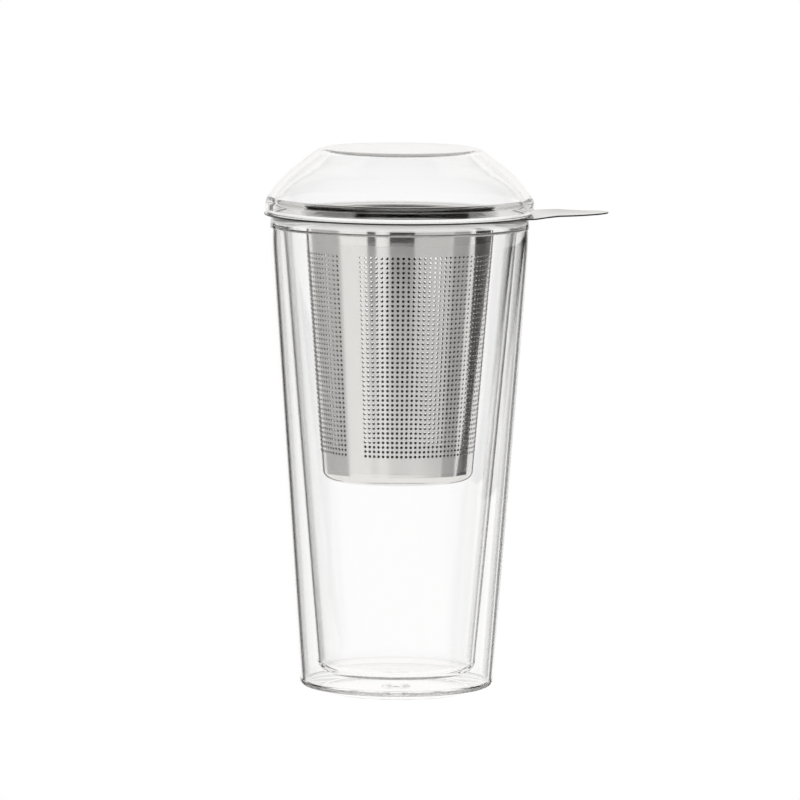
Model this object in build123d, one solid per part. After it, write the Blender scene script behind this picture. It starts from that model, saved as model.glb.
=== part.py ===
"""Double-walled glass tea tumbler with a perforated steel infuser and a loose glass lid.

Millimetres, +Z up. The origin is the middle of the flat face that the tumbler stands on, and the
infuser's finger tab points along +X. Every solid is written to its own file in parts/.
"""

from build123d import *

import math
import os

# ---------------------------------------------------------------- driving dimensions
# Tumbler, outside
cup_height = 159.0  # table to the top of the fused rim
rim_radius = 43.0  # outside of the glass at the rim
wall_taper = 4.27  # degrees that the outer wall leans out
upright_band = 4.3  # the outer wall stands upright this far below its seam with the rim
outer_wall = 1.6  # glass thickness of the outer wall
outer_floor = 1.6  # glass thickness of the outer wall's floor
heel_width = 8.3  # from the flat disc that stands on the table out to the wall
heel_rise = 2.4  # the underside climbs this far over that width
heel_radius = 1.8  # rounding where the underside turns into the wall
heel_inside = 0.6  # rounding inside, where the floor meets the wall
sole_radius = 3.0  # rounding round the flat disc
pip_radius = 5.0  # flame-sealed vent in the middle of the outer floor
pip_height = 0.6

# Tumbler, inside
rim_width = 4.7  # glass across the drinking edge
liner_taper = 5.06  # degrees that the liner leans out
liner_wall = 1.2
liner_floor = 1.6
liner_lift = 6.6  # table to the underside of the liner
liner_corner = 2.6  # rounding inside, where the liner's floor meets its wall
rim_glass = 3.2  # solid glass above the sealed air gap
seam_drop = 2.0  # the two walls are fused this far below the top of the air gap

# Infuser
seat_gap = 0.2  # running gap at each loose seat: flange on rim, lid on flange
flange_overhang = 2.0  # the flange reaches this far past the glass
flange_sheet = 0.5
tab_length = 24.2  # edge of the flange to the tip of the finger tab
tab_half_angle = 30.0  # degrees between the tab's middle and each straight edge
tab_tip_radius = 8.0
tab_root_radius = 9.0
tab_rise = 1.0  # the tab sweeps up this far by its tip
basket_depth = 88.0  # flange underside to the bottom of the basket
basket_clearance = 6.5  # glass to basket, all round at the rim
basket_taper = 4.5  # degrees
basket_sheet = 0.4
collar_depth = 8.0  # the flange's sheet is drawn down this far into the mouth
collar_upright = 5.0  # the collar stands upright this far below the flange
collar_sweep = 50.0  # rounding where it turns from upright to the basket's taper
collar_bend = 0.8  # rounding below the flange, where the sheet turns down
floor_corner = 3.2  # outside rounding of the basket's floor cap
floor_skirt = 4.0  # height of the floor cap's upturned edge

# Perforation: a square grid of holes with a plain strip where the sheet is welded
plain_top = 11.6  # flange underside to the first row of holes
plain_bottom = 9.7  # bottom of the basket to the last row
hole_rows = 9  # coarser than the real sheet, with the same open area
hole_columns = 20
hole_radius = 2.3
hole_sides = 6
seam_angle = -121.8  # degrees about +Z to the middle of the weld strip
seam_strip = 16.0  # degrees that the strip takes up
floor_hole_pitch = 7.4
floor_hole_field = 18.0  # holes in the floor lie inside this radius

# Lid
lid_height = 21.4  # bead to the flat top
lid_inset = 0.4  # the lid's edge stays this far inside the flange's
lid_edge = 4.2  # height at which the sloping side would meet the upright edge
lid_edge_round = 4.0
lid_side = 17.8  # width of the sloping side, seen from above
lid_bend_in = 6.1  # the side leans further in from here, this far in from the edge
lid_bend_height = 12.4  # and this far above the bead
lid_bend_round = 30.0
lid_top_round = 4.5
lid_wall = 2.0
lid_bead = 2.4  # thickness of the bead that the lid stands on

# ---------------------------------------------------------------- what follows from them
cup_lean = math.tan(math.radians(wall_taper))
liner_lean = math.tan(math.radians(liner_taper))
basket_lean = math.tan(math.radians(basket_taper))
liner_mouth = rim_radius - rim_width
flange_radius = rim_radius + flange_overhang
tab_reach = flange_radius + tab_length
basket_mouth = liner_mouth - basket_clearance
lid_radius = flange_radius - lid_inset
rim_round = 0.48 * rim_width  # the drinking edge is all but a half circle, and so is the lid's bead
lid_bead_round = 0.48 * lid_bead

gap_top_z = cup_height - rim_glass
seam_z = gap_top_z - seam_drop
shoulder_z = seam_z - upright_band
shoulder_radius = 0.9 * upright_band / math.tan(math.radians(wall_taper / 2))
flange_z = cup_height + seat_gap
flange_top_z = flange_z + flange_sheet
basket_bottom_z = flange_z - basket_depth
collar_z = flange_z - collar_depth
skirt_z = basket_bottom_z + floor_skirt
lid_z = flange_top_z + seat_gap
lid_top_z = lid_z + lid_height


def wall_radius(z):
    """Outside of the tumbler's leaning wall, at height z."""
    return rim_radius - (shoulder_z - z) * cup_lean


def liner_radius(z):
    """Inside of the liner, at height z."""
    return liner_mouth - (cup_height - z) * liner_lean


def basket_radius(z):
    """Outside of the basket, at height z."""
    return basket_mouth - (flange_z - z) * basket_lean


def inset(before, corner, after, wall):
    """The inside corner of an even wall, for an outside that turns at corner; the inside is to the right."""
    ways = [(Vector(*corner) - Vector(*before)).normalized(), (Vector(*after) - Vector(*corner)).normalized()]
    inward = [Vector(way.Y, -way.X) for way in ways]
    moved = Vector(*corner) + (inward[0] + inward[1]) * (wall / (1 + inward[0].dot(inward[1])))
    return moved.X, moved.Y


def turned(corners):
    """Solid of revolution about Z. Each corner is (radius, height, rounding)."""
    outline = make_face(Polyline(*[(r, z) for r, z, _ in corners], close=True))
    for r, z, rounding in corners:
        if rounding:
            corner = outline.vertices().sort_by_distance((r, z))[0]
            outline = fillet(corner, rounding)
    return revolve(Plane.XZ * outline, Axis.Z)


# ---------------------------------------------------------------- tumbler
def make_outer_wall():
    """The outer glass: heel, leaning wall and upright band, with the sealed vent in its floor."""
    thick = outer_wall / math.cos(math.radians(wall_taper))
    inner_heel_z = heel_rise + outer_floor
    contact_radius = wall_radius(heel_rise) - heel_width
    glass = turned(
        [
            (0, 0, 0),
            (contact_radius, 0, sole_radius),
            (wall_radius(heel_rise), heel_rise, heel_radius),
            (rim_radius, shoulder_z, shoulder_radius),
            (rim_radius, seam_z, 0),
            (rim_radius - outer_wall, seam_z, 0),
            (rim_radius - outer_wall, shoulder_z, shoulder_radius),
            (wall_radius(inner_heel_z) - thick, inner_heel_z, heel_inside),
            (contact_radius, outer_floor, sole_radius),
            (0, outer_floor, 0),
        ]
    )
    dome_radius = (pip_radius**2 + pip_height**2) / (2 * pip_height)
    dome = Pos(0, 0, outer_floor + pip_height - dome_radius) * Sphere(dome_radius)
    above_floor = Pos(0, 0, outer_floor) * Cylinder(
        2 * pip_radius, pip_height, align=(Align.CENTER, Align.CENTER, Align.MIN)
    )
    return glass + (dome & above_floor)


def make_inner_liner():
    """The inner glass, with the lip that closes the air gap and is fused to the outer wall."""
    thick = liner_wall / math.cos(math.radians(liner_taper))
    floor_z = liner_lift + liner_floor
    gap_outside = rim_radius - outer_wall
    gap_inside = liner_radius(gap_top_z) + thick
    arch = 0.45 * (gap_outside - gap_inside)
    return turned(
        [
            (0, liner_lift, 0),
            (liner_radius(liner_lift) + thick, liner_lift, liner_corner + liner_wall),
            (gap_inside, gap_top_z, arch),
            (gap_outside, gap_top_z, arch),
            (gap_outside, seam_z, 0),
            (rim_radius, seam_z, 0),
            (rim_radius, cup_height, rim_round),
            (liner_mouth, cup_height, rim_round),
            (liner_radius(floor_z), floor_z, liner_corner),
            (0, floor_z, 0),
        ]
    )


# ---------------------------------------------------------------- infuser
def flange_outline():
    """Plan of the flange: a disc with a pointed tab, rounded at its tip and at its roots."""
    tip_centre = tab_reach - tab_tip_radius
    apex = tip_centre + tab_tip_radius / math.sin(math.radians(tab_half_angle))
    root_x = 0.5 * flange_radius
    root_y = (apex - root_x) * math.tan(math.radians(tab_half_angle))
    tab = make_face(Polyline((apex, 0), (root_x, root_y), (root_x, -root_y), close=True))
    tab = fillet(tab.vertices().sort_by(Axis.X)[-1], tab_tip_radius)
    plan = Circle(flange_radius) + tab
    tip_x = plan.vertices().sort_by(Axis.X)[-1].X
    roots = plan.vertices().filter_by(lambda v: 0 < v.X < tip_x - 1 and abs(v.Y) > 1)
    return fillet(roots, tab_root_radius)


def swept_sheet():
    """A level sheet that curves up beyond the flange's edge, cut to the plan by the caller."""
    run = tab_reach - flange_radius
    bend = (run**2 + tab_rise**2) / (2 * tab_rise)
    level = Line((-flange_radius, flange_z), (flange_radius, flange_z))
    sweep_angle = math.degrees(math.asin(run / bend))
    curve = CenterArc((flange_radius, flange_z + bend), bend, -90, sweep_angle)
    top_curve = CenterArc((flange_radius, flange_z + bend), bend - flange_sheet, -90, 1.05 * sweep_angle)
    top_level = Line((flange_radius, flange_top_z), (-flange_radius, flange_top_z))
    far = Line(curve @ 1, top_curve @ 1)
    near = Line((-flange_radius, flange_top_z), (-flange_radius, flange_z))
    side = make_face(Curve() + [level, curve, far, top_curve, top_level, near])
    return extrude(Plane.XZ * side, flange_radius, both=True)


def make_infuser_flange():
    """Flange, finger tab and drawn collar: one piece of sheet."""
    tall = 4 * tab_rise
    blank = Pos(0, 0, flange_z - tall / 2) * extrude(flange_outline(), 2 * tall)
    sheet = swept_sheet() & blank
    upright_z = flange_z - collar_upright
    outside = basket_radius(upright_z)
    inside = outside - flange_sheet
    mouth = outside + 2 * collar_bend
    sheet -= Pos(0, 0, flange_z) * Cylinder(mouth, tall)
    collar = turned(
        [
            (mouth, flange_z, 0),
            (mouth, flange_top_z, 0),
            (inside, flange_top_z, collar_bend + flange_sheet),
            (inside, upright_z, collar_sweep),
            (basket_radius(collar_z) - basket_sheet, collar_z, 0),
            (basket_radius(collar_z), collar_z, 0),
            (outside, upright_z, collar_sweep),
            (outside, flange_z, collar_bend),
        ]
    )
    return sheet + collar


def hole_punch(length):
    """One punch: a prism along +X, centred on the origin."""
    return extrude(Plane.YZ * RegularPolygon(hole_radius, hole_sides), length / 2, both=True)


def make_infuser_sleeve():
    """The rolled cone of perforated sheet between the collar and the floor cap."""
    sleeve = turned(
        [
            (basket_radius(skirt_z) - basket_sheet, skirt_z, 0),
            (basket_radius(skirt_z), skirt_z, 0),
            (basket_radius(collar_z), collar_z, 0),
            (basket_radius(collar_z) - basket_sheet, collar_z, 0),
        ]
    )
    punch = hole_punch(8 * basket_sheet)
    low = basket_bottom_z + plain_bottom
    row_pitch = (flange_z - plain_top - low) / hole_rows
    column_pitch = (360 - seam_strip) / hole_columns
    punches = []
    for column in range(hole_columns):
        angle = seam_angle + seam_strip / 2 + (column + 0.5) * column_pitch
        for row in range(hole_rows):
            z = low + (row + 0.5) * row_pitch
            out = Pos(basket_radius(z) - basket_sheet / 2, 0, z) * Rot(0, basket_taper, 0)
            punches.append(Rot(0, 0, angle) * out * punch)
    return sleeve - punches


def make_infuser_floor():
    """The pressed cap that closes the basket: perforated disc, rounded corner and short skirt."""
    top = basket_bottom_z + basket_sheet
    cap = turned(
        [
            (0, basket_bottom_z, 0),
            (basket_radius(basket_bottom_z), basket_bottom_z, floor_corner),
            (basket_radius(skirt_z), skirt_z, 0),
            (basket_radius(skirt_z) - basket_sheet, skirt_z, 0),
            (basket_radius(top) - basket_sheet, top, floor_corner - basket_sheet),
            (0, top, 0),
        ]
    )
    upright = Rot(0, 90, 0) * hole_punch(8 * basket_sheet)
    reach = int(floor_hole_field / floor_hole_pitch)
    steps = [step * floor_hole_pitch for step in range(-reach, reach + 1)]
    spots = [(x, y) for x in steps for y in steps if math.hypot(x, y) <= floor_hole_field]
    return cap - [Pos(x, y, basket_bottom_z) * upright for x, y in spots]


# ---------------------------------------------------------------- lid
def make_lid():
    """The loose glass lid: flat top, a side that leans in twice, and a rounded bead to stand on."""
    top = (lid_radius - lid_side, lid_top_z)
    bend = (lid_radius - lid_bend_in, lid_z + lid_bend_height)
    edge = (lid_radius, lid_z + lid_edge)
    inner_top = inset((0, lid_top_z), top, bend, lid_wall)
    inner_bend = inset(top, bend, edge, lid_wall)
    bead_inside = lid_radius - lid_bead
    lower_slope = (lid_bend_height - lid_edge) / lid_bend_in
    inner_edge_z = inner_bend[1] - (bead_inside - inner_bend[0]) * lower_slope
    return turned(
        [
            (0, lid_top_z, 0),
            (*top, lid_top_round),
            (*bend, lid_bend_round),
            (*edge, lid_edge_round),
            (lid_radius, lid_z, lid_bead_round),
            (bead_inside, lid_z, lid_bead_round),
            (bead_inside, inner_edge_z, lid_edge_round - lid_wall),
            (*inner_bend, lid_bend_round - lid_wall),
            (*inner_top, lid_top_round - lid_wall),
            (0, inner_top[1], 0),
        ]
    )


# ---------------------------------------------------------------- write the parts
pieces = {
    "outer_wall": make_outer_wall,
    "inner_liner": make_inner_liner,
    "infuser_flange": make_infuser_flange,
    "infuser_sleeve": make_infuser_sleeve,
    "infuser_floor": make_infuser_floor,
    "lid": make_lid,
}
os.makedirs("parts", exist_ok=True)
for name, make in pieces.items():
    solid = make()
    export_step(solid, f"parts/{name}.step")
    print(name, round(solid.volume), "mm3")
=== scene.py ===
# %% [markdown]
# # A double-walled glass tea tumbler, its steel infuser and its glass lid
#
# The object is almost nothing but clear glass and mirror-bright sheet steel. Both show their
# surroundings more than themselves, so this lesson spends its effort on three things: shapes with
# exact surface normals, glass that light really passes through, and a studio to be reflected.
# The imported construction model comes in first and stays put; every piece made here is laid over it.

# %% Load the fixed frame
import math

import bpy
import numpy as np
from mathutils import Matrix, Vector
from mathutils.geometry import delaunay_2d_cdt


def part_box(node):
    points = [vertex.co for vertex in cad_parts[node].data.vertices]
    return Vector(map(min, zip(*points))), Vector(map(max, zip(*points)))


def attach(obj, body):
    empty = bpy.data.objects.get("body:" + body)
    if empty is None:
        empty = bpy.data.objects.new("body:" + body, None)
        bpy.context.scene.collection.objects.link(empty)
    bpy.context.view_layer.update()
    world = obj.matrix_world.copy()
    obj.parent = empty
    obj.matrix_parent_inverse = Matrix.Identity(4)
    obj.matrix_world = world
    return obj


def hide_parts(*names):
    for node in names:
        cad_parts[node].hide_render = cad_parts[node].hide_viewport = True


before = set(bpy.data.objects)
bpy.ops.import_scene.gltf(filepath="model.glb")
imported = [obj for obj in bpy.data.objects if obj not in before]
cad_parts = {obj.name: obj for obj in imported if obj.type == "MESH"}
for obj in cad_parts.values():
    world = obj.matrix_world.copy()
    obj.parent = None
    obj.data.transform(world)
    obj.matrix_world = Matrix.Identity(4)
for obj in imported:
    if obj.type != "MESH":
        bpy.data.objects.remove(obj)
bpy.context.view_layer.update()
MM = 0.001

# %% [markdown]
# ## The camera
#
# A catalogue picture of glassware is taken from far away with a long lens, so that the rim is a
# thin ellipse and the sides stay straight. The camera stands two and a half metres off, a little
# above the lid, looks slightly down and is rolled by half a degree.

# %% Camera
CAMERA_DISTANCE = 2494 * MM
CAMERA_HEIGHT = 358.6 * MM
CAMERA_SIDE = 0.54 * MM
LOOK_DOWN = math.radians(5.98)
ROLL = math.radians(0.45)
LENS = 339.3
SENSOR_WIDTH = 36
FARTHEST_SEEN = 60
CAMERA_PLACE = Vector((CAMERA_SIDE, -CAMERA_DISTANCE, CAMERA_HEIGHT))


def make_camera():
    """A long lens a little above the lid."""
    data = bpy.data.cameras.new("camera")
    data.lens = LENS
    data.sensor_width = SENSOR_WIDTH
    data.clip_end = FARTHEST_SEEN
    camera = bpy.data.objects.new("camera", data)
    tilt = Matrix.Rotation(math.pi / 2 - LOOK_DOWN, 4, "X")
    camera.matrix_world = Matrix.Translation(CAMERA_PLACE) @ tilt @ Matrix.Rotation(ROLL, 4, "Z")
    bpy.context.scene.collection.objects.link(camera)
    bpy.context.scene.camera = camera


make_camera()
print("camera at", [round(value, 3) for value in CAMERA_PLACE])

# %% [markdown]
# ## Sizes
#
# The places of all pieces are read from the frame, so nothing has to be fitted. Only the sizes
# that a box can't tell, such as a glass thickness or a taper, are written down again.

# %% Sizes from the frame
wall_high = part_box("outer_wall")[1]
liner_low, liner_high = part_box("inner_liner")
flange_low, flange_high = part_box("infuser_flange")
sleeve_low, sleeve_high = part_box("infuser_sleeve")
cap_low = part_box("infuser_floor")[0]
lid_low, lid_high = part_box("lid")

RIM_RADIUS = wall_high.x
SEAM_Z = wall_high.z
CUP_TOP = liner_high.z
LINER_BOTTOM = liner_low.z
FLANGE_RADIUS = -flange_low.x
TAB_REACH = flange_high.x
COLLAR_Z = flange_low.z
SKIRT_Z = sleeve_low.z
BASKET_BOTTOM = cap_low.z
LID_RADIUS = lid_high.x
LID_BOTTOM = lid_low.z
LID_TOP = lid_high.z

# Share of a wall that each rounding takes at its end, so that two make nearly a half circle
END_ROUND = 0.48

# Glass
WALL_TAPER = math.radians(4.27)
UPRIGHT_BAND = 4.3 * MM
SHOULDER_SHARE = 0.9
OUTER_GLASS = 1.6 * MM
OUTER_FLOOR = 1.6 * MM
HEEL_WIDTH = 8.3 * MM
HEEL_RISE = 2.4 * MM
HEEL_ROUND = 1.8 * MM
HEEL_INSIDE = 0.6 * MM
FOOT_ROUND = 3.0 * MM
PIP_RADIUS = 5.0 * MM
PIP_HEIGHT = 0.6 * MM
PIP_ROUND = 1.0 * MM
RIM_WIDTH = 4.7 * MM
LINER_TAPER = math.radians(5.06)
LINER_GLASS = 1.2 * MM
LINER_FLOOR = 1.6 * MM
LINER_CORNER = 2.6 * MM
RIM_GLASS = 3.2 * MM
RIM_ROUND = END_ROUND * RIM_WIDTH
ARCH_SHARE = 0.45

# Infuser
COLLAR_DEPTH = 8.0 * MM
COLLAR_UPRIGHT = 5.0 * MM
COLLAR_SWEEP = 50 * MM
COLLAR_BEND = 1.9 * MM
THROAT_DEPTH = 3.5 * MM
THROAT_LEAN = math.radians(13)
THROAT_SWEEP = 15 * MM
FLANGE_SHEET = 0.5 * MM
TAB_HALF_ANGLE = math.radians(30)
TAB_TIP_RADIUS = 8 * MM
TAB_ROOT_RADIUS = 9 * MM
TAB_RISE = 1.0 * MM
TAB_DISH = 0.2 * MM
BASKET_TAPER = math.radians(4.5)
BASKET_SHEET = 0.4 * MM
FLOOR_CORNER = 3.2 * MM

# Lid
LID_EDGE = 4.2 * MM
LID_EDGE_ROUND = 4.0 * MM
LID_SIDE = 17.8 * MM
LID_BEND_IN = 6.1 * MM
LID_BEND_HEIGHT = 12.4 * MM
LID_BEND_ROUND = 30 * MM
LID_TOP_ROUND = 4.5 * MM
LID_GLASS = 2.0 * MM
LID_BEAD = 2.4 * MM
LID_BEAD_ROUND = END_ROUND * LID_BEAD

FLANGE_Z = COLLAR_Z + COLLAR_DEPTH
FLANGE_TOP = FLANGE_Z + FLANGE_SHEET
BASKET_MOUTH = sleeve_high.x + COLLAR_DEPTH * math.tan(BASKET_TAPER)
UPRIGHT_Z = FLANGE_Z - COLLAR_UPRIGHT
SHOULDER_Z = SEAM_Z - UPRIGHT_BAND
LINER_MOUTH = RIM_RADIUS - RIM_WIDTH
print("flange at", round(FLANGE_Z, 5), "basket mouth radius", round(BASKET_MOUTH, 5))


def wall_radius(z):
    """Outside of the tumbler's leaning wall."""
    return RIM_RADIUS - (SHOULDER_Z - z) * math.tan(WALL_TAPER)


def liner_radius(z):
    """Inside of the liner."""
    return LINER_MOUTH - (CUP_TOP - z) * math.tan(LINER_TAPER)


def basket_radius(z):
    """Outside of the basket."""
    return BASKET_MOUTH - (FLANGE_Z - z) * math.tan(BASKET_TAPER)


# %% [markdown]
# ## Turning a profile
#
# Blown glass and spun sheet are bodies of revolution. A lathe in code needs only a profile of
# corners with a rounding for each. Clear glass bends light by its surface normals, and normals
# averaged from the faces would put ripples beside every rounding, so the exact normal is worked
# out with each point and handed to the mesh.

# %% Profile
ARC_STEP = math.radians(5)
LEAST_ARC_STEPS = 5


def rounded(corners):
    """Runs (start, end, start normal, end normal) along corners of (radius, height, rounding).

    The solid lies to the left of the walk, so the normal points to the right.
    """
    points = [np.array(c[:2]) for c in corners]
    ways = [b - a for a, b in zip(points, points[1:])]
    ways = [w / np.hypot(*w) for w in ways]
    runs = []
    last = points[0]
    for i, way in enumerate(ways):
        right = np.array([way[1], -way[0]])
        if i + 1 == len(ways) or not corners[i + 1][2]:
            runs.append((last, points[i + 1], right, right))
            last = points[i + 1]
            continue
        after = ways[i + 1]
        turn = math.atan2(way[0] * after[1] - way[1] * after[0], way @ after)
        size = corners[i + 1][2]
        begin = points[i + 1] - way * size * abs(math.tan(turn / 2))
        runs.append((last, begin, right, right))
        sign = math.copysign(1, turn)
        centre = begin - sign * size * right
        steps = max(LEAST_ARC_STEPS, math.ceil(abs(turn) / ARC_STEP))
        last, last_normal = begin, right
        for k in range(1, steps + 1):
            c, s = math.cos(turn * k / steps), math.sin(turn * k / steps)
            normal = np.array([right[0] * c - right[1] * s, right[0] * s + right[1] * c])
            point = centre + sign * size * normal
            runs.append((last, point, last_normal, normal))
            last, last_normal = point, normal
    return runs


def inset(before, corner, after, wall):
    """The inside corner, to the right, of an even wall whose outside turns at corner."""
    ways = [np.subtract(corner, before), np.subtract(after, corner)]
    inward = [np.array([way[1], -way[0]]) / np.hypot(*way) for way in ways]
    return np.array(corner) + (inward[0] + inward[1]) * (wall / (1 + inward[0] @ inward[1]))


# %% [markdown]
# ### From a profile to a mesh
#
# A skin gathers points, faces, corner normals and finishes and becomes an object in one go. The
# lathe fills one by turning a profile; the sheet pieces further down fill theirs cell by cell.

# %% Skin and lathe
TURNS = 360
ON_AXIS = 1e-9


def about_z(radius, height, angle):
    """A point or a normal of (radius, height), turned to an angle about Z."""
    return (radius * math.cos(angle), radius * math.sin(angle), height)


def new_object(name, points, faces, normals=None):
    """A mesh object with smooth shading and, if given, one normal for each face corner."""
    mesh = bpy.data.meshes.new(name)
    mesh.from_pydata(points, [], faces)
    mesh.polygons.foreach_set("use_smooth", [True] * len(mesh.polygons))
    if normals is not None:
        mesh.normals_split_custom_set(normals)
    thing = bpy.data.objects.new(name, mesh)
    bpy.context.scene.collection.objects.link(thing)
    print(name + ":", len(faces), "faces")
    return thing


class Skin:
    """A mesh in the making, with a normal for each face corner and a finish for each face."""

    def __init__(self):
        self.points, self.faces, self.normals, self.finishes = [], [], [], []

    def point(self, x, y, z):
        """Adds a point and returns its number."""
        self.points.append((x, y, z))
        return len(self.points) - 1

    def face(self, corners, finish=0):
        """Adds a face from corners of (point number, normal)."""
        self.faces.append([point for point, _ in corners])
        self.normals.extend(normal for _, normal in corners)
        self.finishes.append(finish)

    def made(self, name, *materials):
        """The object; a finish is the number of one of the materials."""
        thing = new_object(name, self.points, self.faces, self.normals)
        for material in materials:
            thing.data.materials.append(material)
        thing.data.polygons.foreach_set("material_index", self.finishes)
        return thing


def lathe(runs):
    """The skin of the runs turned once about Z."""
    angles = [2 * math.pi * k / TURNS for k in range(TURNS)]
    skin = Skin()

    def ring(radius, height):
        """Numbers of a new ring of points, or of one point on the axis, as often."""
        if radius < ON_AXIS:
            return [skin.point(0, 0, height)] * TURNS
        return [skin.point(*about_z(radius, height, angle)) for angle in angles]

    first = lower = ring(*runs[0][0])
    for i, (_, end, normal, end_normal) in enumerate(runs):
        closes = i + 1 == len(runs) and np.allclose(end, runs[0][0])
        upper = first if closes else ring(*end)
        for k in range(TURNS):
            n = (k + 1) % TURNS
            quad = [
                (lower[k], about_z(*normal, angles[k])),
                (lower[n], about_z(*normal, angles[n])),
                (upper[n], about_z(*end_normal, angles[n])),
                (upper[k], about_z(*end_normal, angles[k])),
            ]
            if lower[k] == lower[n]:
                quad.pop(0)
            elif upper[k] == upper[n]:
                quad.pop(3)
            skin.face(quad)
        lower = upper
    return skin


# %% [markdown]
# ## Sums between sockets
#
# Shader maths reads best as sums, so a wire, which is one output socket, knows plus, minus and
# times. Every other node comes from one method that first makes its settings and then fills its
# sockets with values or wires.

# %% Wires and graphs
class Wire:
    """One output socket; a sum written with it adds a Math node."""

    def __init__(self, graph, socket):
        self.graph = graph
        self.socket = socket

    def maths(self, operation, *values):
        """A Math node on wires or numbers."""
        return self.graph.node("ShaderNodeMath", {"operation": operation}, dict(enumerate(values)))

    def __add__(self, other):
        return self.maths("ADD", self, other)

    def __radd__(self, other):
        return self.maths("ADD", other, self)

    def __rsub__(self, other):
        return self.maths("SUBTRACT", other, self)

    def __mul__(self, other):
        return self.maths("MULTIPLY", self, other)

    def __rmul__(self, other):
        return self.maths("MULTIPLY", other, self)

    def above(self, low, high):
        """0 below low, 1 above high and a smooth climb between them."""
        settings = {"interpolation_type": "SMOOTHSTEP"}
        return self.graph.node("ShaderNodeMapRange", settings, {0: self, 1: low, 2: high})


class Graph:
    """The nodes of one material, or of the world."""

    def __init__(self, owner):
        owner.use_nodes = True
        self.tree = owner.node_tree
        self.tree.nodes.clear()

    def node(self, kind, settings=None, sockets=None, output=0):
        """One node: settings first, then a value or a wire for each socket, by name or number."""
        made = self.tree.nodes.new(kind)
        for name, value in (settings or {}).items():
            setattr(made, name, value)
        for name, value in (sockets or {}).items():
            if isinstance(value, Wire):
                self.tree.links.new(value.socket, made.inputs[name])
            else:
                made.inputs[name].default_value = value
        return Wire(self, made.outputs[output]) if made.outputs else None

    def mixed(self, share, one, other):
        """A colour that runs from one to other."""
        sockets = {0: share, 6: one, 7: other}
        return self.node("ShaderNodeMix", {"data_type": "RGBA"}, sockets, output=2)

    def grain(self, scale, stretch=(1, 1, 1)):
        """Noise from 0 to 1 that sits on the object."""
        where = self.node("ShaderNodeTexCoord", output="Object")
        where = self.node("ShaderNodeMapping", sockets={"Vector": where, "Scale": stretch})
        return self.node("ShaderNodeTexNoise", sockets={"Vector": where, "Scale": scale})

    def mirrored(self):
        """1 for a ray that a surface has mirrored, 0 for all others."""
        return self.node("ShaderNodeLightPath", output="Glossy Depth").above(0.4, 0.6)

    def surface(self, shader, kind="ShaderNodeOutputMaterial"):
        """Makes the shader what is seen."""
        self.node(kind, sockets={"Surface": shader})


def new_material(name):
    """An empty material and its graph."""
    material = bpy.data.materials.new(name)
    return material, Graph(material)


# %% [markdown]
# ## The studio
#
# Nothing in a picture of clear glass is lit from the front. A white sweep behind and below shows
# straight through it, and dark panels at the sides draw its edges. The world below does this by
# the kind of ray: what is seen directly or through glass is white, and what is mirrored, by steel
# or inside a glass wall, shows grey surroundings with bright and dark panels.

# %% World
SURROUND = 1.0
CEILING = 0.45
CEILING_FROM = 0.20
CEILING_SOFT = 0.05
WHITE = (1, 1, 1, 1)
GREEN_SHARE = 0.99
BLUE_SHARE = 0.975
# Panels, later ones in front: azimuth from the front towards +X, half width and softness, all in
# degrees; lowest and highest slope and their softness; level
PANELS = (
    (180, 40, 10, -0.6, 0.9, 0.05, 1.0),
    (28, 34, 14, -0.254, 0.0, 0.01, 0.62),
    (-106, 24, 8, -0.262, 0.0, 0.006, 0.5),
    (82, 10, 6, -0.262, 0.0, 0.006, 0.36),
    (-19, 74, 8, 0.17, 0.42, 0.04, 0.0),
    (0, 178, 2, 0.92, 1.1, 0.03, 0.3),
    (3, 14, 2, -0.238, 0.0, 0.006, 0.05),
    (-34, 3, 4, -0.238, 0.0, 0.008, 0.10),
    (158, 4, 2, -0.6, 0.02, 0.03, 0.06),
    (-151, 4, 2, -0.6, 0.0, 0.03, 0.06),
)


def make_world():
    """White where seen directly, panels of grey where mirrored."""
    world = bpy.data.worlds.new("studio")
    bpy.context.scene.world = world
    graph = Graph(world)
    way = graph.node("ShaderNodeTexCoord", output="Generated")
    rise = graph.node("ShaderNodeSeparateXYZ", sockets={0: way}, output=2)
    flat = graph.node("ShaderNodeVectorMath", {"operation": "MULTIPLY"}, {0: way, 1: (1, 1, 0)})
    flat = graph.node("ShaderNodeVectorMath", {"operation": "NORMALIZE"}, {0: flat})
    high = rise.above(CEILING_FROM - CEILING_SOFT, CEILING_FROM)
    level = high * CEILING + (1 - high) * SURROUND
    for azimuth, half, soft, low, top, blur, value in PANELS:
        angle = math.radians(azimuth)
        toward = (math.sin(angle), -math.cos(angle), 0)
        ways = {0: flat, 1: toward}
        facing = graph.node("ShaderNodeVectorMath", {"operation": "DOT_PRODUCT"}, ways, "Value")
        inside = facing.above(math.cos(math.radians(half + soft)), math.cos(math.radians(half)))
        inside = inside * rise.above(low - blur, low) * (1 - rise.above(top, top + blur))
        level = inside * value + (1 - inside) * level
    sockets = {0: level, 1: level * GREEN_SHARE, 2: level * BLUE_SHARE}
    greys = graph.node("ShaderNodeCombineColor", sockets=sockets)
    colour = graph.mixed(graph.mirrored(), WHITE, greys)
    light = graph.node("ShaderNodeBackground", sockets={"Color": colour, "Strength": 1.0})
    graph.surface(light, "ShaderNodeOutputWorld")


make_world()
print("panels:", len(PANELS))

# %% [markdown]
# ### The sweep
#
# Under the tumbler lies a wide sheet that glows as white as the world, so that no edge shows where
# they meet. Mirrors don't see it, because the grey panels reach down past it.

# %% Floor
FLOOR_SIZE = 30.0
FLOOR_DROP = 0.05 * MM


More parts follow.
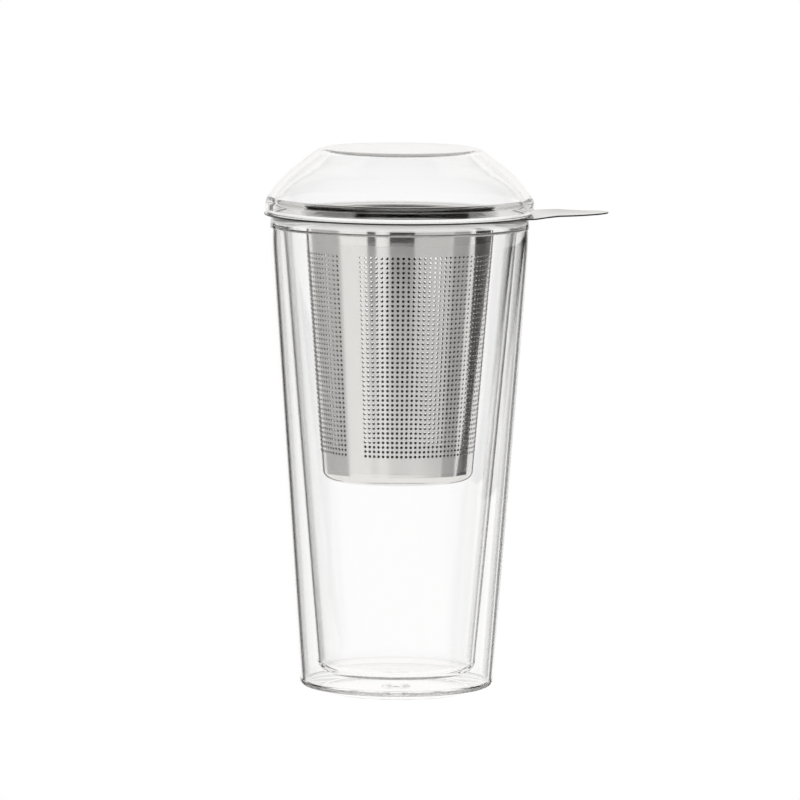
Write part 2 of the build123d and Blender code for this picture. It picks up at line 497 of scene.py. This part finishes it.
def make_floor():
    """A white sweep under the tumbler that mirrors don't see."""
    material, graph = new_material("white_sweep")
    glow = graph.node("ShaderNodeEmission", sockets={"Color": WHITE, "Strength": 1.0})
    gone = graph.node("ShaderNodeBsdfTransparent")
    sides = {0: graph.mirrored(), 1: glow, 2: gone}
    graph.surface(graph.node("ShaderNodeMixShader", sockets=sides))
    half = FLOOR_SIZE / 2
    corners = [(-half, -half, 0), (half, -half, 0), (half, half, 0), (-half, half, 0)]
    floor = new_object("floor", corners, [(0, 1, 2, 3)])
    floor.location.z = -FLOOR_DROP
    floor.data.materials.append(material)


make_floor()

# %% [markdown]
# ### A leaning black card
#
# The world is endlessly far away, so its panels stand upright in a mirror. The dark streak on the
# right of the basket leans and narrows, so what it mirrors is near: a black card beside the
# tumbler. Its corners follow from the law of reflection, from where they should show on the basket.

# %% Black card
CARD_WAY = math.radians(115)
CARD_DISTANCE = 300 * MM
# Where the card's corners show on the basket: height in millimetres, degrees from the front to +X
CARD_CORNERS = (
    (168, 51.0),
    (149, 51.8),
    (99, 54.3),
    (92, 53.9),
    (71, 48.0),
    (73, 63.0),
    (90, 62.0),
    (115, 66.0),
    (148, 73.0),
    (168, 76.0),
)


def make_card():
    """A card that only mirrors can see."""
    away = Vector((math.sin(CARD_WAY), -math.cos(CARD_WAY), 0))
    corners = []
    for height, angle in CARD_CORNERS:
        east, north = math.sin(math.radians(angle)), -math.cos(math.radians(angle))
        spot = Vector((east, north, 0)) * basket_radius(height * MM)
        spot.z = height * MM
        normal = Vector((east, north, -math.tan(BASKET_TAPER))).normalized()
        way = (spot - CAMERA_PLACE).normalized().reflect(normal)
        corners.append(spot + way * ((CARD_DISTANCE - spot.dot(away)) / way.dot(away)))
    material, graph = new_material("black_card")
    black = graph.node("ShaderNodeBsdfDiffuse", sockets={"Color": (0, 0, 0, 1)})
    gone = graph.node("ShaderNodeBsdfTransparent")
    sides = {0: graph.mirrored(), 1: gone, 2: black}
    graph.surface(graph.node("ShaderNodeMixShader", sockets=sides))
    card = new_object("black_card", corners, [tuple(range(len(corners)))])
    card.data.materials.append(material)


make_card()

# %% [markdown]
# ## Glass
#
# Borosilicate glass is colourless and bends light a little less than window glass. Its look is its
# edges, and they lie on the inner skin: a blown wall shows a light border, where light is carried
# round inside the glass, and a dark line where the line of sight starts to cross the inner skin.
# These edge lines are helped by painted shade: each glass's colour darkens where it is seen edge-on.

# %% Glass finishes
GLASS_IOR = 1.47
GLASS_GLOSS = (0.25, 0.25, 0.25, 1)


def clear_glass(name, tint_and_shade, edge_shade=None, edge_from=0.0, edge_to=1.0, clear=1.0):
    """Clear blown glass, darker where it is seen edge-on, which is painted shade; what isn't clear is
    white and diffuse, a painted highlight.
    """
    material, graph = new_material(name)
    # painted shade: the colour darkens where the glass is seen edge-on
    if edge_shade:
        edge_on = graph.node("ShaderNodeLayerWeight", sockets={"Blend": 0.5}, output="Facing")
        tint_and_shade = graph.mixed(edge_on.above(edge_from, edge_to), tint_and_shade, edge_shade)
    sockets = {
        "Base Color": tint_and_shade,
        "Roughness": 0.0,
        "IOR": GLASS_IOR,
        "Specular Tint": GLASS_GLOSS,
        "Transmission Weight": clear,
    }
    graph.surface(graph.node("ShaderNodeBsdfPrincipled", sockets=sockets))
    return material


def fused_seam():
    """The joint inside the glass can't be seen: light goes straight on."""
    material, graph = new_material("fused_seam")
    sockets = {"Base Color": WHITE, "Alpha": 0.0}
    graph.surface(graph.node("ShaderNodeBsdfPrincipled", sockets=sockets))
    return material


# Colour seen square on, painted shade seen edge-on, and how far edge-on the change starts and ends
OUTER_SKIN = ((0.995, 0.995, 0.995, 1), (0.94, 0.94, 0.94, 1), 0.8, 1.0)
INNER_SKIN = ((0.995, 0.995, 0.995, 1), (0.01, 0.01, 0.01, 1), 0.62, 0.86)
LID_SKIN = ((0.99, 0.99, 0.99, 1), (0.66, 0.66, 0.66, 1), 0.6, 1.0)
# Painted shade: the heel's glass is coloured dark
HEEL_SHADE = (0.25, 0.25, 0.25, 1)
# Painted highlight: the share of the lip that isn't clear is white and diffuse
LIP_CLEAR = 0.45
cup_glass = clear_glass("cup_glass", *OUTER_SKIN)
cup_inner_glass = clear_glass("cup_inner_glass", *INNER_SKIN)
bright_lip_glass = clear_glass("bright_lip_glass", *OUTER_SKIN, LIP_CLEAR)
lid_glass = clear_glass("lid_glass", *LID_SKIN)
shaded_heel_glass = clear_glass("shaded_heel_glass", HEEL_SHADE)
seam_glass = fused_seam()

# %% [markdown]
# ## The tumbler
#
# Two glasses are blown, put one in the other and fused in a flame at the rim. The outer one
# stands on a flat disc with a gentle heel; in its floor is the small pip where the vent hole was
# closed. Where the two pieces meet, the joining faces get a finish that light ignores, so each
# glass is a closed mesh and yet the pair looks as one. The lip is partly white and diffuse, a
# painted highlight, and the rounded heel is given a dark colour, which is painted shade.

# %% Outer wall
OUTER, SEAM, INNER, LIP, HEEL = range(5)
AT_SEAM = 0.01 * MM
# How far up or down a normal points: on a level face, on an upright one and round the heel
LEVEL = 0.9
UPRIGHT = 0.5
HEEL_LOOKS = (-0.9, -0.1)


def cup_finish(face):
    """The finish of one face of the cup, by where it lies and which way it looks."""
    outward = face.normal.x * face.center.x + face.normal.y * face.center.y
    height, up = face.center.z, face.normal.z
    if abs(height - SEAM_Z) < AT_SEAM and abs(up) > LEVEL:
        return SEAM
    if height < SEAM_Z and outward < 0 and abs(up) < UPRIGHT:
        return INNER
    if height > CUP_TOP - RIM_ROUND:
        return LIP
    if height < HEEL_RISE and HEEL_LOOKS[0] < up < HEEL_LOOKS[1]:
        return HEEL
    return OUTER


def turned_cup(name, corners):
    """One glass of the cup, with all of the cup's finishes."""
    materials = (cup_glass, seam_glass, cup_inner_glass, bright_lip_glass, shaded_heel_glass)
    glass = lathe(rounded(corners)).made(name, *materials)
    for face in glass.data.polygons:
        face.material_index = cup_finish(face)
    return glass


def make_outer_wall():
    """The outer glass."""
    thick = OUTER_GLASS / math.cos(WALL_TAPER)
    inner_heel = HEEL_RISE + OUTER_FLOOR
    contact = wall_radius(HEEL_RISE) - HEEL_WIDTH
    shoulder = SHOULDER_SHARE * UPRIGHT_BAND / math.tan(WALL_TAPER / 2)
    dome = (PIP_RADIUS**2 + PIP_HEIGHT**2) / (2 * PIP_HEIGHT)
    corners = [
        (0, 0, 0),
        (contact, 0, FOOT_ROUND),
        (wall_radius(HEEL_RISE), HEEL_RISE, HEEL_ROUND),
        (RIM_RADIUS, SHOULDER_Z, shoulder),
        (RIM_RADIUS, SEAM_Z, 0),
        (RIM_RADIUS - OUTER_GLASS, SEAM_Z, 0),
        (RIM_RADIUS - OUTER_GLASS, SHOULDER_Z, shoulder),
        (wall_radius(inner_heel) - thick, inner_heel, HEEL_INSIDE),
        (contact, OUTER_FLOOR, FOOT_ROUND),
        (PIP_RADIUS, OUTER_FLOOR, PIP_ROUND),
        (PIP_RADIUS / 3, OUTER_FLOOR + PIP_HEIGHT, dome / 4),
        (0, OUTER_FLOOR + PIP_HEIGHT, 0),
    ]
    wall = turned_cup("outer_wall_glass", corners)
    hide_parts("outer_wall")
    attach(wall, "cup")


make_outer_wall()

# %% Inner liner
def make_liner():
    """The inner glass with the rim that one drinks from."""
    thick = LINER_GLASS / math.cos(LINER_TAPER)
    floor_z = LINER_BOTTOM + LINER_FLOOR
    gap_top = CUP_TOP - RIM_GLASS
    gap_outside = RIM_RADIUS - OUTER_GLASS
    gap_inside = liner_radius(gap_top) + thick
    arch = ARCH_SHARE * (gap_outside - gap_inside)
    corners = [
        (0, LINER_BOTTOM, 0),
        (liner_radius(LINER_BOTTOM) + thick, LINER_BOTTOM, LINER_CORNER + LINER_GLASS),
        (gap_inside, gap_top, arch),
        (gap_outside, gap_top, arch),
        (gap_outside, SEAM_Z, 0),
        (RIM_RADIUS, SEAM_Z, 0),
        (RIM_RADIUS, CUP_TOP, RIM_ROUND),
        (LINER_MOUTH, CUP_TOP, RIM_ROUND),
        (liner_radius(floor_z), floor_z, LINER_CORNER),
        (0, floor_z, 0),
    ]
    liner = turned_cup("liner_glass", corners)
    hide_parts("inner_liner")
    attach(liner, "cup")


make_liner()

# %% [markdown]
# ## The lid
#
# The lid is one piece of clear glass: a dome with a flat top, and a bead to stand on. Its inside
# runs at an even distance from its outside, so its corners are worked out from the outer ones.

# %% Lid
def make_lid():
    """The loose glass lid."""
    top = (LID_RADIUS - LID_SIDE, LID_TOP)
    bend = (LID_RADIUS - LID_BEND_IN, LID_BOTTOM + LID_BEND_HEIGHT)
    edge = (LID_RADIUS, LID_BOTTOM + LID_EDGE)
    inner_top = inset((0, LID_TOP), top, bend, LID_GLASS)
    inner_bend = inset(top, bend, edge, LID_GLASS)
    bead_inside = LID_RADIUS - LID_BEAD
    lower_slope = (LID_BEND_HEIGHT - LID_EDGE) / LID_BEND_IN
    inner_edge = inner_bend[1] - (bead_inside - inner_bend[0]) * lower_slope
    corners = [
        (0, inner_top[1], 0),
        (*inner_top, LID_TOP_ROUND - LID_GLASS),
        (*inner_bend, LID_BEND_ROUND - LID_GLASS),
        (bead_inside, inner_edge, LID_EDGE_ROUND - LID_GLASS),
        (bead_inside, LID_BOTTOM, LID_BEAD_ROUND),
        (LID_RADIUS, LID_BOTTOM, LID_BEAD_ROUND),
        (*edge, LID_EDGE_ROUND),
        (*bend, LID_BEND_ROUND),
        (*top, LID_TOP_ROUND),
        (0, LID_TOP, 0),
    ]
    lid = lathe(rounded(corners)).made("lid_glass", lid_glass)
    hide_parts("lid")
    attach(lid, "lid")


make_lid()

# %% [markdown]
# ## Steel
#
# The infuser is bright rolled stainless sheet. It is nearly a mirror, a little warm, and the mill
# leaves a very fine grain and a slow waviness that bends the edges of what it mirrors. The flange
# is seen at a glancing angle, where any metal turns white, so its colour is painted darker, as
# shade. The inside of the basket and the cut edges see little light, and their colour is painted
# nearly black as shade.

# %% Steel finish
STEEL = (0.86, 0.85, 0.84, 1)
STEEL_WAVES = (0.82, 0.81, 0.80, 1)
# Painted shade: the flange gets a darker colour than the sheet it is made of
STEEL_FLANGE_SHADE = (0.40, 0.40, 0.39, 1)
# Painted shade: the inside of the basket is coloured nearly black
STEEL_INSIDE_SHADE = (0.01, 0.01, 0.01, 1)
# Painted shade: the cut edges are coloured nearly black
STEEL_CUT_SHADE = (0.04, 0.04, 0.04, 1)
HAZE_ROUGHNESS = 0.30
GRAIN_SCALE = 2600
GRAIN_ROUGHNESS = 0.05
WAVE_SCALE = 70
WAVE_DEPTH = 0.2 * MM
EVEN_GRAIN = (1, 1, 1)
DRAWN_GRAIN = (1, 1, 0.05)


def bright_steel(name, tone, roughness, wave, haze, stretch, wave_tone=None):
    """Rolled sheet: fine grain in the gloss, slow waves in surface and tone, and a soft haze."""
    material, graph = new_material(name)
    fine = graph.grain(GRAIN_SCALE, stretch)
    slow = graph.grain(WAVE_SCALE)
    colour = graph.mixed(slow, tone, wave_tone) if wave_tone else tone
    relief = {"Strength": wave, "Distance": WAVE_DEPTH, "Height": slow}
    bump = graph.node("ShaderNodeBump", sockets=relief)
    layers = []
    for dull in (roughness + GRAIN_ROUGHNESS * fine, HAZE_ROUGHNESS):
        sockets = {"Base Color": colour, "Metallic": 1.0, "Roughness": dull, "Normal": bump}
        layers.append(graph.node("ShaderNodeBsdfPrincipled", sockets=sockets))
    graph.surface(graph.node("ShaderNodeMixShader", sockets={0: haze, 1: layers[0], 2: layers[1]}))
    return material


# Tone, roughness, strength of the waves, haze and grain, and a second tone for the waves
plain_steel = bright_steel("plain_steel", STEEL, 0.05, 0.15, 0.08, EVEN_GRAIN, STEEL_WAVES)
# Painted shade: the flange's steel is given the darker colour
shaded_flange_steel = bright_steel("shaded_flange_steel", STEEL_FLANGE_SHADE, 0.05, 0.15, 0.08, EVEN_GRAIN)
sleeve_steel = bright_steel("sleeve_steel", STEEL, 0.07, 0.12, 0.3, DRAWN_GRAIN, STEEL_WAVES)
# Painted shade: the inside of the basket and the cut edges are coloured nearly black
shaded_inside_steel = bright_steel("shaded_inside_steel", STEEL_INSIDE_SHADE, 0.2, 0.12, 0.0, DRAWN_GRAIN)
shaded_cut_steel = bright_steel("shaded_cut_steel", STEEL_CUT_SHADE, 0.3, 0.1, 0.3, DRAWN_GRAIN)

# %% [markdown]
# ## The perforated sleeve
#
# Four and a half thousand punched holes are what a stranger remembers of this infuser. Cutting
# them with booleans would take minutes and leave ragged faces, so the sheet is laid out as a grid
# of cells on the cone, each cell a ring of faces round an open hole, outside and inside, joined
# by the wall of the hole.

# %% Grid of holes
HOLE_ROWS = 43
HOLE_COLUMNS = 104
HOLE_RADIUS = 0.49 * MM
HOLE_SIDES = 8
FIRST_ROW_Z = 147.2 * MM
LAST_ROW_Z = 81.25 * MM
STRIP_MIDDLE = math.radians(-122.6)
STRIP_BETWEEN = math.radians(17.1)
STRIP_CELLS = 4
HOLE_TURNS = [2 * math.pi * (k + 0.5) / HOLE_SIDES for k in range(HOLE_SIDES)]
print("holes in the sleeve:", HOLE_ROWS * HOLE_COLUMNS)


def sleeve_columns():
    """Angles of the lines between the cells, round the holes and then across the plain strip."""
    pitch = (2 * math.pi - STRIP_BETWEEN) / (HOLE_COLUMNS - 1)
    strip = STRIP_BETWEEN - pitch
    start = STRIP_MIDDLE + strip / 2
    holed = [start + pitch * c for c in range(HOLE_COLUMNS)]
    edge = start + pitch * HOLE_COLUMNS
    return holed + [edge + strip * c / STRIP_CELLS for c in range(STRIP_CELLS)]


def sleeve_levels():
    """Heights of the lines between the cells, from the skirt to the collar."""
    pitch = (FIRST_ROW_Z - LAST_ROW_Z) / (HOLE_ROWS - 1)
    return [SKIRT_Z] + [LAST_ROW_Z + pitch * (r - 0.5) for r in range(HOLE_ROWS + 1)] + [COLLAR_Z]


# %% [markdown]
# ### One cell of the sheet
#
# Each quarter of a cell is a four-sided face and a triangle, between a corner of the cell and two
# sides of the eight-sided hole. The wall of the hole joins the two sides of the sheet.

# %% Cells
def sheet_point(skin, angle, z, inside):
    """A point on the outer or the inner side of the sheet."""
    return skin.point(*about_z(basket_radius(z) - inside * BASKET_SHEET, z, angle))


def sheet_face(skin, corners, inside):
    """A face of the outer or the inner side from corners of (point, angle)."""
    side = -1 if inside else 1
    out, up = side * math.cos(BASKET_TAPER), -side * math.sin(BASKET_TAPER)
    made = [(point, about_z(out, up, angle)) for point, angle in corners]
    skin.face(made[::-1] if inside else made, inside)


def punched_cell(skin, cells, middle, z):
    """The outer and the inner side of a cell round an open hole, and the wall of the hole."""
    rims = []
    for inside, cell in enumerate(cells):
        rim = []
        for turn in HOLE_TURNS:
            angle = middle + HOLE_RADIUS * math.cos(turn) / basket_radius(z)
            height = z + HOLE_RADIUS * math.sin(turn) * math.cos(BASKET_TAPER)
            rim.append((sheet_point(skin, angle, height, inside), angle))
        rims.append(rim)
        # in degrees, the rim starts at 22.5 and the cell's corners are at 225, 315, 45 and 135
        for side in range(4):
            here, after = cell[(side + 1) % 4], cell[(side + 2) % 4]
            a, b, c = (rim[(2 * side + step) % HOLE_SIDES] for step in (-1, 0, 1))
            sheet_face(skin, [here, after, b, a], inside)
            sheet_face(skin, [after, c, b], inside)
    outer, inner = rims
    for k in range(HOLE_SIDES):
        m = (k + 1) % HOLE_SIDES
        wall = []
        for at, rim in ((k, outer), (m, outer), (m, inner), (k, inner)):
            c, s = -math.cos(HOLE_TURNS[at]), -math.sin(HOLE_TURNS[at])
            wall.append((rim[at][0], (-c * math.sin(middle), c * math.cos(middle), s)))
        skin.face(wall)


# %% Sleeve
def make_sleeve():
    """The rolled cone with its holes and the plain strip where it is welded."""
    columns, levels = sleeve_columns(), sleeve_levels()
    skin = Skin()
    grid = {}
    for inside in (0, 1):
        for i, z in enumerate(levels):
            for j, angle in enumerate(columns):
                grid[inside, i, j] = sheet_point(skin, angle, z, inside)
    count, top = len(columns), len(levels) - 1
    for j, left in enumerate(columns):
        n = (j + 1) % count
        right = columns[n] + (2 * math.pi if n == 0 else 0)
        for i in range(top):
            cells = []
            for inside in (0, 1):
                ends = ((i, j, left), (i, n, right), (i + 1, n, right), (i + 1, j, left))
                cells.append([(grid[inside, row, column], angle) for row, column, angle in ends])
            if j < HOLE_COLUMNS and 1 <= i <= HOLE_ROWS:
                punched_cell(skin, cells, (left + right) / 2, (levels[i] + levels[i + 1]) / 2)
            else:
                for inside, cell in enumerate(cells):
                    sheet_face(skin, cell, inside)
    for j in range(count):
        n = (j + 1) % count
        for row, up, order in ((top, 1, (0, 0, 1, 1)), (0, -1, (1, 1, 0, 0))):
            ends = zip(order, (j, n, n, j))
            skin.face([(grid[inside, row, at], (0, 0, up)) for inside, at in ends])
    sleeve = skin.made("perforated_sleeve", sleeve_steel, shaded_inside_steel)
    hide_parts("infuser_sleeve")
    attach(sleeve, "infuser")


make_sleeve()

# %% [markdown]
# ## Floor cap
#
# The floor is punched like the sleeve. Its flat part is a disc with a square grid of holes, filled
# with triangles round them; the rounded corner and the skirt are turned.

# %% Plan of the floor
CAP_FLAT = 20.5 * MM
CAP_FIELD = 19.5 * MM
CAP_PITCH = 1.7 * MM
# Three corners of a hole's rim have their middle within 0.81 of its radius
IN_HOLE = 0.9 * HOLE_RADIUS
# Points of the plan nearer than this, in millimetres, count as one
SAME_POINT = 1e-6


def cap_spots():
    """The middles of the holes: a square grid within a circle."""
    reach = int(CAP_FIELD / CAP_PITCH)
    steps = [CAP_PITCH * step for step in range(-reach, reach + 1)]
    return [(x, y) for x in steps for y in steps if math.hypot(x, y) <= CAP_FIELD]


def loop_edges(loop):
    """The edges of a closed loop of point numbers."""
    return list(zip(loop, loop[1:] + loop[:1]))


def cap_plan(spots):
    """The flat floor from above: its outline and holes as drawn, and filled, in millimetres."""
    angles = [2 * math.pi * k / TURNS for k in range(TURNS)]
    flat = [about_z(CAP_FLAT, 0, angle)[:2] for angle in angles]
    edges = loop_edges(list(range(TURNS)))
    rims = []
    for x, y in spots:
        rims.append(list(range(len(flat), len(flat) + HOLE_SIDES)))
        edges += loop_edges(rims[-1])
        for turn in HOLE_TURNS:
            flat.append((x + HOLE_RADIUS * math.cos(turn), y + HOLE_RADIUS * math.sin(turn)))
    drawn = [Vector(point) / MM for point in flat]
    filled, _, triangles, *_ = delaunay_2d_cdt(drawn, edges, [], 1, SAME_POINT)
    return flat, rims, filled, triangles


def in_hole(corners):
    """Whether a triangle, in millimetres, lies in one of the holes."""
    middle = sum(corners, Vector((0, 0))) * MM / 3
    spot = Vector([CAP_PITCH * round(value / CAP_PITCH) for value in middle])
    return spot.length <= CAP_FIELD and (middle - spot).length < IN_HOLE


# %% Floor cap
def make_floor_cap():
    """Perforated disc, rounded corner and short skirt."""
    low, top = BASKET_BOTTOM, BASKET_BOTTOM + BASKET_SHEET
    skirt_inside = basket_radius(SKIRT_Z) - BASKET_SHEET
    section = rounded(
        [
            (CAP_FLAT, low, 0),
            (basket_radius(low), low, FLOOR_CORNER),
            (basket_radius(SKIRT_Z), SKIRT_Z, 0),
            (skirt_inside, SKIRT_Z, 0),
            (basket_radius(top) - BASKET_SHEET, top, FLOOR_CORNER - BASKET_SHEET),
            (CAP_FLAT, top, 0),
        ]
    )
    skin = lathe(section[:-1])
    outside = [np.allclose(run[0], (skirt_inside, SKIRT_Z)) for run in section].index(True) * TURNS
    skin.finishes[outside:] = [1] * (len(skin.faces) - outside)

    spots = cap_spots()
    flat, rims, filled, triangles = cap_plan(spots)
    levels = []
    for level, up in ((low, -1), (top, 1)):
        numbers = [skin.point(spot.x * MM, spot.y * MM, level) for spot in filled]
        for corners in triangles:
            if not in_hole([filled[corner] for corner in corners]):
                skin.face([(numbers[corner], (0, 0, up)) for corner in corners[::up]], int(up > 0))
        levels.append(numbers)
    for (x, y), rim in zip(spots, rims):
        for here, after in loop_edges(rim):
            wall = []
            for level, corner in ((0, after), (0, here), (1, here), (1, after)):
                at = flat[corner]
                inward = ((x - at[0]) / HOLE_RADIUS, (y - at[1]) / HOLE_RADIUS, 0)
                wall.append((levels[level][corner], inward))
            skin.face(wall)
    cap = skin.made("floor_cap", plain_steel, shaded_inside_steel)
    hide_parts("infuser_floor")
    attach(cap, "infuser")
    print("holes in the floor:", len(spots))


make_floor_cap()

# %% [markdown]
# ## Flange and finger tab
#
# The flange is a disc whose edge runs out into a rounded tab, with a drawn collar that goes down
# into the mouth. Its outline has one radius in every direction from the middle, so the plate is
# a section carried round that outline, with the stamped edges rounded a little.

# %% Outline of the flange
TAB_SIDE_STEPS = 24
TIP_STEP = math.radians(4)
ROOT_STEP = math.radians(3)
DISC_STEP = math.radians(1)


def arc_points(centre, radius, start, end, step):
    """Points of (x, y, outward normal) along an arc, its own end left out."""
    count = max(2, math.ceil(abs(end - start) / step))
    sign = math.copysign(1, end - start)
    made = []
    for k in range(count):
        angle = start + (end - start) * k / count
        c, s = math.cos(angle), math.sin(angle)
        made.append((centre[0] + radius * c, centre[1] + radius * s, sign * c, sign * s))
    return made


def flange_outline():
    """Half of the plan, from the tip of the tab round to the far side, then mirrored."""
    normal = math.pi / 2 - TAB_HALF_ANGLE
    tip = TAB_REACH - TAB_TIP_RADIUS
    offset = tip * math.cos(normal) + TAB_TIP_RADIUS
    along = math.sqrt((FLANGE_RADIUS + TAB_ROOT_RADIUS) ** 2 - (offset + TAB_ROOT_RADIUS) ** 2)
    root = (
        (offset + TAB_ROOT_RADIUS) * math.cos(normal) + along * math.sin(normal),
        (offset + TAB_ROOT_RADIUS) * math.sin(normal) - along * math.cos(normal),
    )
    root_way = math.atan2(root[1], root[0])
    half = arc_points((tip, 0), TAB_TIP_RADIUS, 0, normal, TIP_STEP)
    out = (math.cos(normal), math.sin(normal))
    start = (tip + TAB_TIP_RADIUS * out[0], TAB_TIP_RADIUS * out[1])
    stop = (root[0] - TAB_ROOT_RADIUS * out[0], root[1] - TAB_ROOT_RADIUS * out[1])
    for k in range(TAB_SIDE_STEPS):
        share = k / TAB_SIDE_STEPS
        spot = [start[i] + (stop[i] - start[i]) * share for i in (0, 1)]
        half.append((*spot, *out))
    half += arc_points(root, TAB_ROOT_RADIUS, normal + math.pi, root_way + math.pi, ROOT_STEP)
    half += arc_points((0, 0), FLANGE_RADIUS, root_way, math.pi, DISC_STEP)
    back = [(x, -y, nx, -ny) for x, y, nx, ny in half[:0:-1]]
    return half + [(-FLANGE_RADIUS, 0, -1, 0)] + back


# %% [markdown]
# ### The section of the flange
#
# The sheet comes in along the underside, round the stamped edge and back along the top, then goes
# down the inside of the collar and up its outside. Beyond the flange it rises and gets a slight
# dish, so that the thumb finds the tab.

# %% Section of the flange
EDGE_ROUND = 0.2 * MM
EDGE_STEPS = 6
PLATE_STEPS = 16
PLATE, EDGE, COLLAR = range(3)
# Share of a normal that points away from the axis on the collar's outside
LEAST_OUTWARD = 0.01


def tab_lift(x):
    """Rise and slope of the sheet at x: it sweeps up along an arc beyond the flange."""
    run = TAB_REACH - FLANGE_RADIUS
    bend = (run**2 + TAB_RISE**2) / (2 * TAB_RISE)
    past = min(max(x - FLANGE_RADIUS, 0), run)
    return bend - math.sqrt(bend**2 - past**2), past / math.sqrt(bend**2 - past**2)


def tab_dish(x, y):
    """Depth and slope across of the shallow spoon shape that the thumb feels."""
    deep = min(max(x - FLANGE_RADIUS, 0) / TAB_TIP_RADIUS, 1) * TAB_DISH
    return deep * (y / TAB_TIP_RADIUS) ** 2, deep * 2 * y / TAB_TIP_RADIUS**2


def collar_section():
    """Runs down the inside of the drawn collar, round its lower edge and up its outside."""
    outside = basket_radius(UPRIGHT_Z)
    mouth = outside + 2 * COLLAR_BEND
    throat_end = basket_radius(COLLAR_Z) - FLANGE_SHEET
    throat_z = FLANGE_TOP - THROAT_DEPTH
    throat = throat_end + (throat_z - COLLAR_Z) * math.tan(BASKET_TAPER)
    return rounded(
        [
            (mouth, FLANGE_TOP, 0),
            (throat + THROAT_DEPTH * math.tan(THROAT_LEAN), FLANGE_TOP, COLLAR_BEND + FLANGE_SHEET),
            (throat, throat_z, THROAT_SWEEP),
            (throat_end, COLLAR_Z, 0),
            (basket_radius(COLLAR_Z), COLLAR_Z, 0),
            (outside, UPRIGHT_Z, COLLAR_SWEEP),
            (outside, FLANGE_Z, COLLAR_BEND),
            (mouth, FLANGE_Z, 0),
        ]
    )


def plate_section():
    """Share of the way out, step in from the edge, height, and normal out and up."""
    shares = [k / PLATE_STEPS for k in range(PLATE_STEPS + 1)]
    plate = [(share, EDGE_ROUND, 0.0, 0, -1) for share in shares]
    for k in range(1, EDGE_STEPS + 1):
        angle = -math.pi / 2 + math.pi / 2 * k / EDGE_STEPS
        c, s = math.cos(angle), math.sin(angle)
        plate.append((1, EDGE_ROUND * (1 - c), EDGE_ROUND * (1 + s), c, s))
    for k in range(EDGE_STEPS + 1):
        angle = math.pi / 2 * k / EDGE_STEPS
        c, s = math.cos(angle), math.sin(angle)
        plate.append((1, EDGE_ROUND * (1 - c), FLANGE_SHEET - EDGE_ROUND * (1 - s), c, s))
    return plate + [(share, EDGE_ROUND, FLANGE_SHEET, 0, 1) for share in shares[::-1]]


def flange_ring(skin, plate, collar, x, y, out_x, out_y):
    """Angle, points and plate normals of the section where the outline is at (x, y)."""
    around = math.atan2(y, x)
    start = about_z(*collar[0][0], around)
    ring = []
    for share, step_in, height, out, up in plate:
        px, py = x - out_x * step_in, y - out_y * step_in
        px, py = (start[0] + (px - start[0]) * share, start[1] + (py - start[1]) * share)
        lift, slope = tab_lift(px)
        dish, across = tab_dish(px, py)
        normal = np.array([out_x * out - slope * up, out_y * out - across * up, up])
        number = skin.point(px, py, FLANGE_Z + lift + dish + height)
        ring.append((number, tuple(normal / np.linalg.norm(normal))))
    ring += [(skin.point(*about_z(*end, around)), None) for _, end, _, _ in collar[:-1]]
    return around, ring


# %% Flange
def make_flange():
    """Collar, plate and tab as one skin, with dull cut edges painted dark as shade."""
    skin = Skin()
    plate, collar = plate_section(), collar_section()
    rings = [flange_ring(skin, plate, collar, *spot) for spot in flange_outline()]
    stamped = range(PLATE_STEPS, PLATE_STEPS + 2 * EDGE_STEPS)
    for near, far in zip(rings, rings[1:] + rings[:1]):
        for j in range(len(near[1])):
            n = (j + 1) % len(near[1])
            run = collar[j - len(plate) + 1] if j >= len(plate) - 1 else None
            corners = []
            for (angle, ring), i in ((near, j), (far, j), (far, n), (near, n)):
                number, normal = ring[i]
                if run:
                    normal = about_z(*(run[2] if i == j else run[3]), angle)
                corners.append((number, normal))
            finish = EDGE if j in stamped else PLATE
            if run and run[2][0] > LEAST_OUTWARD:
                finish = COLLAR
            skin.face(corners, finish)
    flange = skin.made("flange_with_tab", shaded_flange_steel, shaded_cut_steel, plain_steel)
    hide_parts("infuser_flange")
    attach(flange, "infuser")


make_flange()

# %% [markdown]
# ## Finish
#
# A ray crosses up to a dozen glass surfaces and is mirrored between them, so it gets many bounces.

scene = bpy.context.scene
scene.view_settings.view_transform = "Standard"
scene.cycles.use_denoising = True
scene.cycles.max_bounces = 64
scene.cycles.transmission_bounces = 48
scene.cycles.glossy_bounces = 48
scene.cycles.transparent_max_bounces = 24
